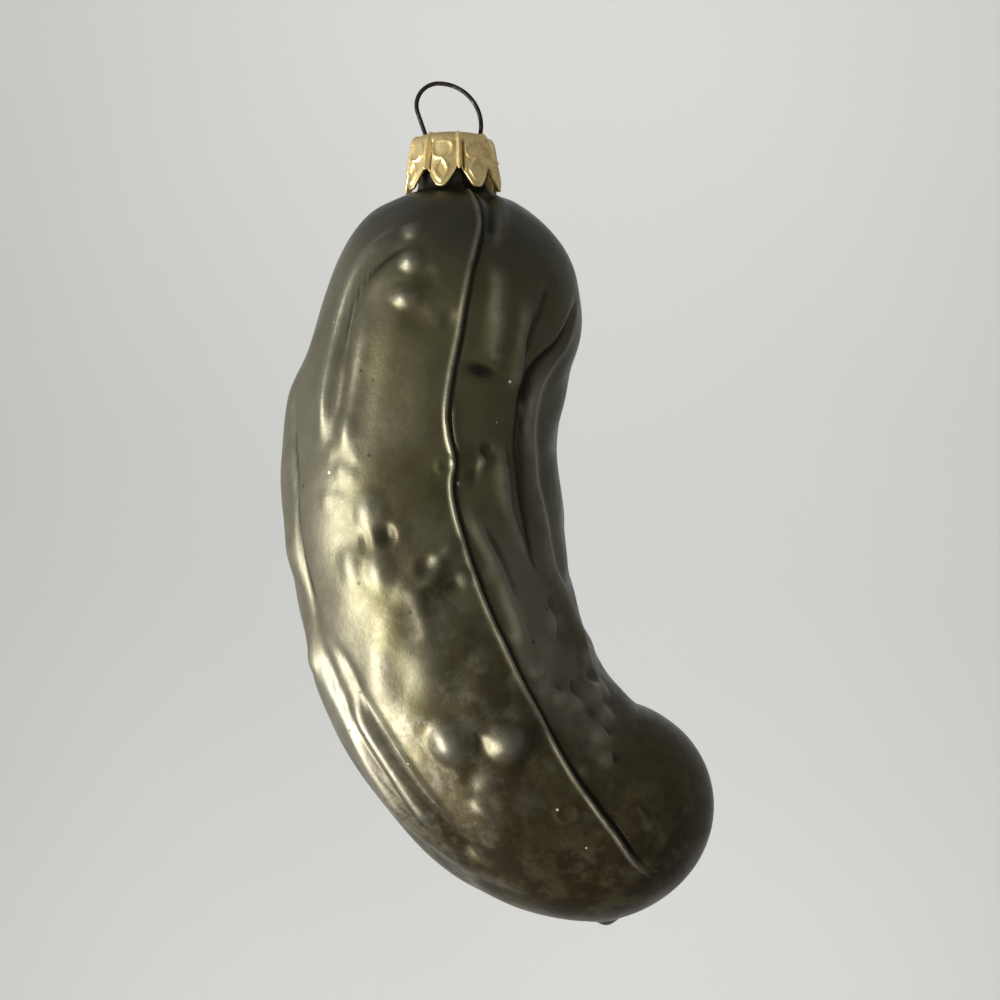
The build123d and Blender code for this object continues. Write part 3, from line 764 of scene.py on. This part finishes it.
def lacquer_finish(glass):
    """Satin metallic lacquer over the silvering, with stray white specks.

    The coats, in their order: olive with paler clouds; brown mottling low down; pale blotches low down, and a
    paler greenish tint low on the right, painted as sheen; a silvery sheen painted on the lit left flank;
    brown stains; a dark colour round the shoulder, and painted shade on the right; brown painted shade under
    the body, broken up by spots; ridges and warts pale where worn, also painted as highlights; painted shade
    in creases and dents and the tip darkened; dark pits; specks. Places along are in mm, and the side is -1
    at the left and 1 at the right."""
    finish = Finish("lacquered_glass")
    wear, dirt, along, side = (finish.attribute(name) for name in ("wear", "dirt", "along", "side"))
    level, clouds, mottle = finish.level(), finish.noise(70.0, 4.0), finish.noise(420.0, 5.0, 0.6)
    pale, stain, charcoal = tuple(glass.pale_olive), tuple(glass.stain), tuple(glass.charcoal)

    colour = finish.mix(finish.ramp(clouds, 0.35, 0.7, 0.0, 0.25), tuple(glass.olive), pale)
    lower = finish.ramp(along, 24.0, 60.0)
    mottling = finish.times(lower, finish.ramp(mottle, 0.34, 0.62, 0.15, 1.0))
    colour = finish.mix(mottling, colour, tuple(glass.brown))
    blotches = finish.ramp(finish.noise(260.0, 5.0, 0.65), 0.46, 0.66, 0.0, 0.6)
    blotches = finish.times(lower, blotches, finish.ramp(along, 74.0, 60.0))
    # A paler greenish tint low on the right, painted as the sheen of a soft light
    grey = finish.times(finish.ramp(side, 0.36, 0.5), finish.ramp(side, 0.95, 0.75),
                        finish.ramp(along, 24.0, 38.0, 0.0, 0.4), finish.ramp(along, 78.0, 68.0))
    colour = finish.mix(finish.math("MAXIMUM", blotches, grey), colour, pale)
    # A silvery sheen painted on the left flank, where the light falls
    silver = finish.times(finish.ramp(side, -0.25, -0.85, 0.0, 0.45), finish.ramp(along, 64.0, 44.0))
    colour = finish.mix(silver, colour, pale)
    stained = finish.ramp(finish.noise(170.0, 6.0, 0.65), 0.36, 0.6)
    colour = finish.mix(finish.times(finish.attribute("stain"), stained), colour, stain)
    # Darker round the shoulder, and painted shade down the right side, away from the light
    shoulder, right = finish.ramp(along, 2.0, -17.0, 0.0, 0.85), finish.ramp(side, 0.45, 1.0, 0.0, 0.45)
    shade = finish.math("MAXIMUM", shoulder, right)
    colour = finish.mix(finish.times(shade, finish.ramp(clouds, 0.2, 0.6, 0.75, 1.0)), colour, charcoal)
    # Brown painted shade under the body, broken up by spots
    spots = finish.ramp(finish.noise(240.0, 6.0, 0.7), 0.4, 0.56, 0.25, 0.95)
    colour = finish.mix(finish.times(finish.ramp(level, *UNDERSIDE), spots), colour, stain)
    # Ridges and warts pale where worn, also painted as their highlights, fading out above the tip
    rubbed = finish.times(wear, finish.ramp(mottle, 0.3, 0.6, 0.3, 0.75), finish.ramp(level, *TIP_WEAR))
    colour = finish.mix(rubbed, colour, pale)
    # Painted shade in creases, dents and the seam's groove, and the tip darkened with the same colour
    tip = finish.ramp(level, *TIP_DARK, 0.0, 0.9)
    dirty = finish.math("MAXIMUM", finish.ramp(dirt, 0.15, 0.85, 0.0, 0.9), tip)
    colour = finish.mix(dirty, colour, tuple(glass.dirt))
    pits = finish.times(finish.ramp(finish.cells(330.0), 0.12, 0.06),
                        finish.ramp(finish.noise(120.0, 2.0), 0.56, 0.62, 0.0, 0.8))
    colour = finish.mix(pits, colour, charcoal)
    specks = finish.times(finish.ramp(finish.cells(240.0), 0.055, 0.035),
                          finish.ramp(finish.noise(95.0, 1.0), 0.56, 0.6))
    colour = finish.mix(specks, colour, tuple(glass.speck))
    finish.set(Base_Color=colour, Metallic=0.75, Roughness=finish.ramp(mottle, 0.3, 0.7, 0.38, 0.46),
               Specular_IOR_Level=0.3, Coat_Weight=0.12, Coat_Roughness=0.34, Coat_IOR=1.5)
    grain = finish.math("ADD", finish.noise(900.0, 4.0), finish.times(finish.noise(2600.0, 2.0), 0.35))
    finish.bump(grain, 0.12, 0.3 * MM)
    return finish.material


class PICKLE_OT_glass(bpy.types.Operator):
    """Blow the lacquered glass body in place of its plain solid"""

    bl_idname = "pickle.glass"
    bl_label = "Glass Body"

    def execute(self, context):
        glass = context.scene.pickle.glass
        grid, attributes = glass_grid(glass)
        piece = closed_piece("lacquered_glass_body", grid, attributes)
        piece.data.materials.append(lacquer_finish(glass))
        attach(piece, "glass")
        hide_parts("glass_body")
        return {"FINISHED"}


def petal_foot(side):
    """Depth of the sheet's lower edge under the cap's top, in millimetres, for a share of the way from a
    petal's middle to its fold: a blunt tip, sloping sides, a small step and the fold's foot."""
    tip, run = 0.22, 0.58
    tip_rise, slope_rise, step_rise, fold_drop = 0.12, 2.2, 0.45, 0.35
    slope = np.clip((side - tip) / run, 0.0, 1.0) ** 1.15
    depth = (CAP_HIGH.z - CAP_LOW.z) / MM - tip_rise * np.clip(side / tip, 0.0, 1.0) ** 2 - slope_rise * slope
    return depth - step_rise * smooth(0.80, 0.86, side) + fold_drop * smooth(0.88, 0.93, side)


def outline(aside, depth, half_width, half_height, middle, power):
    """Level of a rounded outline, (|x/a|^n + |y/b|^n)^(1/n), which is 1 on the outline itself."""
    across = np.abs(aside / half_width)
    down = np.abs((depth - middle) / half_height)
    return (across**power + down**power) ** (1 / power)


def bead(level, size, width):
    """A round bead along the line where a level is 1, for a shape of a size."""
    return np.exp(-(((level - 1.0) * size / width) ** 2))


def cap_relief(cap, share, aside, depth, foot):
    """Height of the stamping over the plain cone, in millimetres.

    The share is -1 to 1 across a petal, aside is in millimetres from its middle, and depth is under the
    cap's top. Beads run round a rounded square above and a lozenge below, whose fields are sunk. A rim
    follows the lower edge. The folds are bells across the petals' joins, each with a slit on its right."""
    square = outline(aside, depth, *SQUARE)
    lozenge = outline(aside, depth, *LOZENGE)
    beads = bead(square, *SQUARE_BEAD) * smooth(*SQUARE_START, depth) + bead(lozenge, *LOZENGE_BEAD)
    height = cap.emboss / MM * beads
    height = height - LOZENGE_SINK * smooth(*FIELD, lozenge) - SQUARE_SINK * smooth(*FIELD, square)
    rim = np.exp(-(((foot - depth - RIM_ASIDE) / RIM_WIDTH) ** 2))
    height = height + RIM_RISE * rim * smooth(0.86, 0.78, np.abs(share))
    height = height + PETAL_SWELL * (1.0 - share**2) * smooth(*SWELL_START, depth)
    gap = (1.0 - np.abs(share)) * np.pi / cap.petals * cap.top_radius / MM
    fold = np.exp(-((gap / FOLD_WIDTH) ** 2))
    height = height + cap.fold_rise / MM * fold * smooth(*FOLD_START, depth)
    slit = np.exp(-(((gap - SLIT_ASIDE) / SLIT_WIDTH) ** 2)) * (share < 0.0)
    return height - SLIT_DEPTH * slit * smooth(*SLIT_START, depth)


def cap_grid(cap):
    """Grid of the stamped sheet: from the middle of the inner top down its inner face, and back up the outer
    face to the middle of the outer top.

    The plain shape is a flat top, a quarter circle and a cone, turned about the neck's axis. The skirt's rows
    spread evenly from the rounded edge to the lower edge of each column."""
    petals = cap.petals
    top, edge = CAP_HIGH.z / MM, cap.edge_radius / MM
    slope = cap.flare / MM / (top - CAP_LOW.z / MM)
    tilt = np.arctan(slope)
    step = np.linspace(-1.0, 1.0, PETAL_COLUMNS, endpoint=False)
    share = np.tile(step + FOLD_GATHER * np.sin(np.pi * step) / np.pi, petals)
    middle = np.repeat(np.arange(petals), PETAL_COLUMNS) * 2 * np.pi / petals + cap.turn - np.pi / 2
    around = middle + share * np.pi / petals
    foot = petal_foot(np.abs(share))
    flat = cap.top_radius / MM + slope * edge - edge

    def face(inset, skirt_rows, flat_rows, stamped):
        """Points of one face of the sheet, from the middle of its top outwards, and the stamping's height."""
        turn = np.linspace(np.pi / 2, tilt, EDGE_ROWS + 1)[1:, None]
        bend = edge - inset
        disc = np.linspace(TOP_START, flat, flat_rows)[:, None]
        radius = np.concatenate([disc, flat + bend * np.cos(turn)])
        lift = np.concatenate([np.full((flat_rows, 1), -inset), bend * np.sin(turn) - edge])
        radius = np.repeat(radius, len(share), 1)
        lift = np.repeat(lift, len(share), 1)
        spread = np.linspace(0.0, 1.0, skirt_rows + 1)[1:, None]
        drop = -lift[-1] + (foot + lift[-1]) * spread
        radius = np.concatenate([radius, radius[-1] + slope * (drop + lift[-1])])
        lift = np.concatenate([lift, -drop])
        relief = np.zeros_like(radius)
        if stamped:
            relief = cap_relief(cap, share, share * np.pi / petals * radius, -lift, foot)
        lean = [np.full(flat_rows, np.pi / 2), turn[:, 0], np.full(skirt_rows, tilt)]
        lean = np.concatenate(lean)[:, None]
        radius = radius + relief * np.cos(lean)
        lift = lift + relief * np.where(np.cos(lean) > 0.5, np.sin(lean), 0.0)
        grid = np.stack([radius * np.cos(around), radius * np.sin(around), lift + top], -1)
        return grid, relief

    inner, inner_relief = face(cap.sheet / MM, skirt_rows=18, flat_rows=5, stamped=False)
    outer, outer_relief = face(0.0, skirt_rows=66, flat_rows=8, stamped=True)
    grid = np.concatenate([inner, outer[::-1]])
    return grid, {"relief": np.concatenate([inner_relief, outer_relief[::-1]])}


def cut_holes(piece, spots, radius, low, high):
    """Cuts upright round holes through a piece, with one cylinder for each spot."""
    sides = 24
    turns = np.linspace(0.0, 2 * np.pi, sides, endpoint=False)
    levels = np.array([[[0.0, 0.0, high]], [[0.0, 0.0, low]]])
    for x, y in spots:
        ring = np.stack([x + radius * np.cos(turns), y + radius * np.sin(turns), np.zeros(sides)], -1)
        cutter = closed_piece("wire_hole", ring + levels, {})
        holes = piece.modifiers.new("wire_hole", "BOOLEAN")
        holes.operation = "DIFFERENCE"
        holes.solver = "EXACT"
        holes.object = cutter
        bpy.context.view_layer.update()
        cut = piece.evaluated_get(bpy.context.evaluated_depsgraph_get())
        mesh = bpy.data.meshes.new_from_object(cut)
        piece.modifiers.clear()
        piece.data = mesh
        bpy.data.objects.remove(cutter)


def gold_finish(cap):
    """Stamped gold sheet: bright on what stands proud, duller and browner in the hollows, finely dented."""
    finish = Finish("gold_sheet")
    clouds, relief = finish.noise(900.0, 4.0, 0.6), finish.attribute("relief")
    tarnish = finish.ramp(clouds, 0.42, 0.68, 0.0, 0.55)
    hollow = finish.ramp(relief, 0.06, -0.06, 0.0, 0.7)
    colour = finish.mix(finish.math("MAXIMUM", tarnish, hollow), tuple(cap.gold), tuple(cap.old_gold))
    # Painted shade in the slits beside the folds
    colour = finish.mix(finish.ramp(relief, -0.11, -0.2, 0.0, 0.9), colour, tuple(cap.slit))
    finish.set(Base_Color=colour, Metallic=0.85, Roughness=finish.ramp(clouds, 0.3, 0.7, 0.38, 0.52))
    finish.bump(finish.noise(2400.0, 3.0), 0.2, 0.25 * MM)
    return finish.material


class PICKLE_OT_cap(bpy.types.Operator):
    """Stamp the petalled crown cap in place of its plain solid"""

    bl_idname = "pickle.cap"
    bl_label = "Crown Cap"

    def execute(self, context):
        cap = context.scene.pickle.cap
        grid, attributes = cap_grid(cap)
        piece = closed_piece("stamped_crown_cap", grid, attributes)
        top, offset = CAP_HIGH.z / MM, cap.hole_offset / MM
        spots = ((-offset, 0.0), (offset, 0.0))
        cut_holes(piece, spots, cap.hole_radius / MM, top - HOLE_REACH, top + HOLE_REACH)
        piece.data.materials.clear()
        piece.data.materials.append(gold_finish(cap))
        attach(piece, "cap")
        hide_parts("crown_cap")
        return {"FINISHED"}


def wire_finish(wire):
    """Oxidised spring wire, rubbed bare in places."""
    finish = Finish("dark_wire")
    worn = finish.noise(1300.0, 4.0, 0.6)
    colour = finish.mix(finish.ramp(worn, 0.48, 0.7), tuple(wire.dark), tuple(wire.bare))
    finish.set(Base_Color=colour, Metallic=0.85, Roughness=finish.ramp(worn, 0.3, 0.7, 0.55, 0.38))
    finish.bump(finish.noise(5200.0, 2.0), 0.2, 0.1 * MM)
    return finish.material


class PICKLE_OT_wire(bpy.types.Operator):
    """Finish the wire hanger"""

    bl_idname = "pickle.wire"
    bl_label = "Wire Hanger"

    def execute(self, context):
        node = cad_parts["wire_hanger"]
        node.data.materials.clear()
        node.data.materials.append(wire_finish(context.scene.pickle.wire))
        return {"FINISHED"}


def stage_piece(stage):
    """Pale floor that curves up into a backdrop: a profile of a flat, a quarter circle and an upright, drawn
    straight across."""
    front, near, bend, upright = -1.6, -0.8, 0.25, 1.3
    back = stage.backdrop_distance
    turns = np.linspace(0.0, np.pi / 2, 24)[1:]
    flat = np.concatenate([[front], np.linspace(near, back - bend, 12)])
    depth = np.concatenate([flat, back - bend + bend * np.sin(turns), [back]])
    height = np.concatenate([np.zeros_like(flat), bend * (1.0 - np.cos(turns)), [upright]])
    height = height + stage.floor_drop
    across = np.linspace(-stage.backdrop_width / 2, stage.backdrop_width / 2, 13)
    grid = np.stack(np.broadcast_arrays(across[None, :], depth[:, None], height[:, None]), -1)
    row, column = np.meshgrid(np.arange(len(depth) - 1), np.arange(len(across) - 1), indexing="ij")
    start = row * len(across) + column
    faces = np.stack([start, start + 1, start + len(across) + 1, start + len(across)], -1).reshape(-1, 4)
    mesh = bpy.data.meshes.new("pale_stage")
    mesh.from_pydata(grid.reshape(-1, 3).tolist(), [], faces.tolist())
    mesh.shade_smooth()
    floor = bpy.data.objects.new("pale_stage", mesh)
    bpy.context.scene.collection.objects.link(floor)
    finish = Finish("pale_stage")
    worn = tuple(0.97 * value for value in stage.pale[:3]) + (1.0,)
    finish.set(Base_Color=finish.mix(finish.ramp(finish.noise(3.0, 2.0), 0.3, 0.7), tuple(stage.pale), worn),
               Roughness=0.9, Specular_IOR_Level=0.1)
    mesh.materials.append(finish.material)
    return floor


def lamp(name, place, target, size, power, spread):
    """A soft rectangular lamp at a place, facing a target, with its light held within a spread in degrees."""
    data = bpy.data.lights.new(name, "AREA")
    data.shape = "RECTANGLE"
    data.size, data.size_y = size
    data.energy = power
    data.spread = np.radians(spread)
    light = bpy.data.objects.new(name, data)
    light.location = place
    light.rotation_euler = (Vector(target) - Vector(place)).to_track_quat("-Z", "Y").to_euler()
    bpy.context.scene.collection.objects.link(light)
    return light


class PICKLE_OT_stage(bpy.types.Operator):
    """Set the floor, the lamps and the camera"""

    bl_idname = "pickle.stage"
    bl_label = "Stage"

    def execute(self, context):
        scene = context.scene
        stage = scene.pickle.stage
        stage_piece(stage)
        lamp("key", stage.key_place, stage.key_aim, stage.key_size, stage.key_power, KEY_SPREAD)
        for name, height, aim in BACKDROP_LAMPS:
            place = (0.0, BACKDROP_LAMP_DISTANCE, height)
            target = (0.0, stage.backdrop_distance, aim)
            lamp(name, place, target, BACKDROP_LAMP_SIZE, stage.backdrop_power, BACKDROP_SPREAD)
        world = bpy.data.worlds.new("even_light")
        world.use_nodes = True
        background = world.node_tree.nodes["Background"]
        background.inputs["Color"].default_value = (1.0, 1.0, 1.0, 1.0)
        background.inputs["Strength"].default_value = stage.world_level
        scene.world = world
        data = bpy.data.cameras.new("camera")
        data.lens = stage.lens
        data.sensor_width = 36.0
        data.clip_start = 0.01
        camera = bpy.data.objects.new("camera", data)
        camera.location = stage.camera_place
        camera.rotation_euler = (np.pi / 2, 0.0, 0.0)
        scene.collection.objects.link(camera)
        scene.camera = camera
        scene.view_settings.view_transform = "Standard"
        return {"FINISHED"}


class PICKLE_PT_panel(bpy.types.Panel):
    """Lists the ornament's pieces and settings"""

    bl_idname = "PICKLE_PT_panel"
    bl_label = "Pickle Ornament"
    bl_space_type = "VIEW_3D"
    bl_region_type = "UI"
    bl_category = "Pickle Ornament"

    def draw(self, context):
        for key in ("glass", "cap", "wire", "stage"):
            box = self.layout.box()
            box.operator("pickle." + key)
            settings = getattr(context.scene.pickle, key)
            for name in settings.__annotations__:
                box.prop(settings, name)


CLASSES = (
    PickleGlassSettings, PickleCapSettings, PickleWireSettings, PickleStageSettings, PickleSettings,
    PICKLE_OT_glass, PICKLE_OT_cap, PICKLE_OT_wire, PICKLE_OT_stage, PICKLE_PT_panel,
)


def register():
    """Adds the classes and the scene's settings."""
    for cls in CLASSES:
        bpy.utils.register_class(cls)
    bpy.types.Scene.pickle = PointerProperty(type=PickleSettings, name="Pickle Ornament",
                                             description="Settings of the pickle ornament")


def unregister():
    """Takes the scene's settings and the classes away again."""
    del bpy.types.Scene.pickle
    for cls in reversed(CLASSES):
        bpy.utils.unregister_class(cls)


def main():
    """Makes the pieces and the stage in order."""
    register()
    bpy.ops.pickle.glass()
    bpy.ops.pickle.cap()
    bpy.ops.pickle.wire()
    bpy.ops.pickle.stage()


if __name__ == "__main__":
    main()
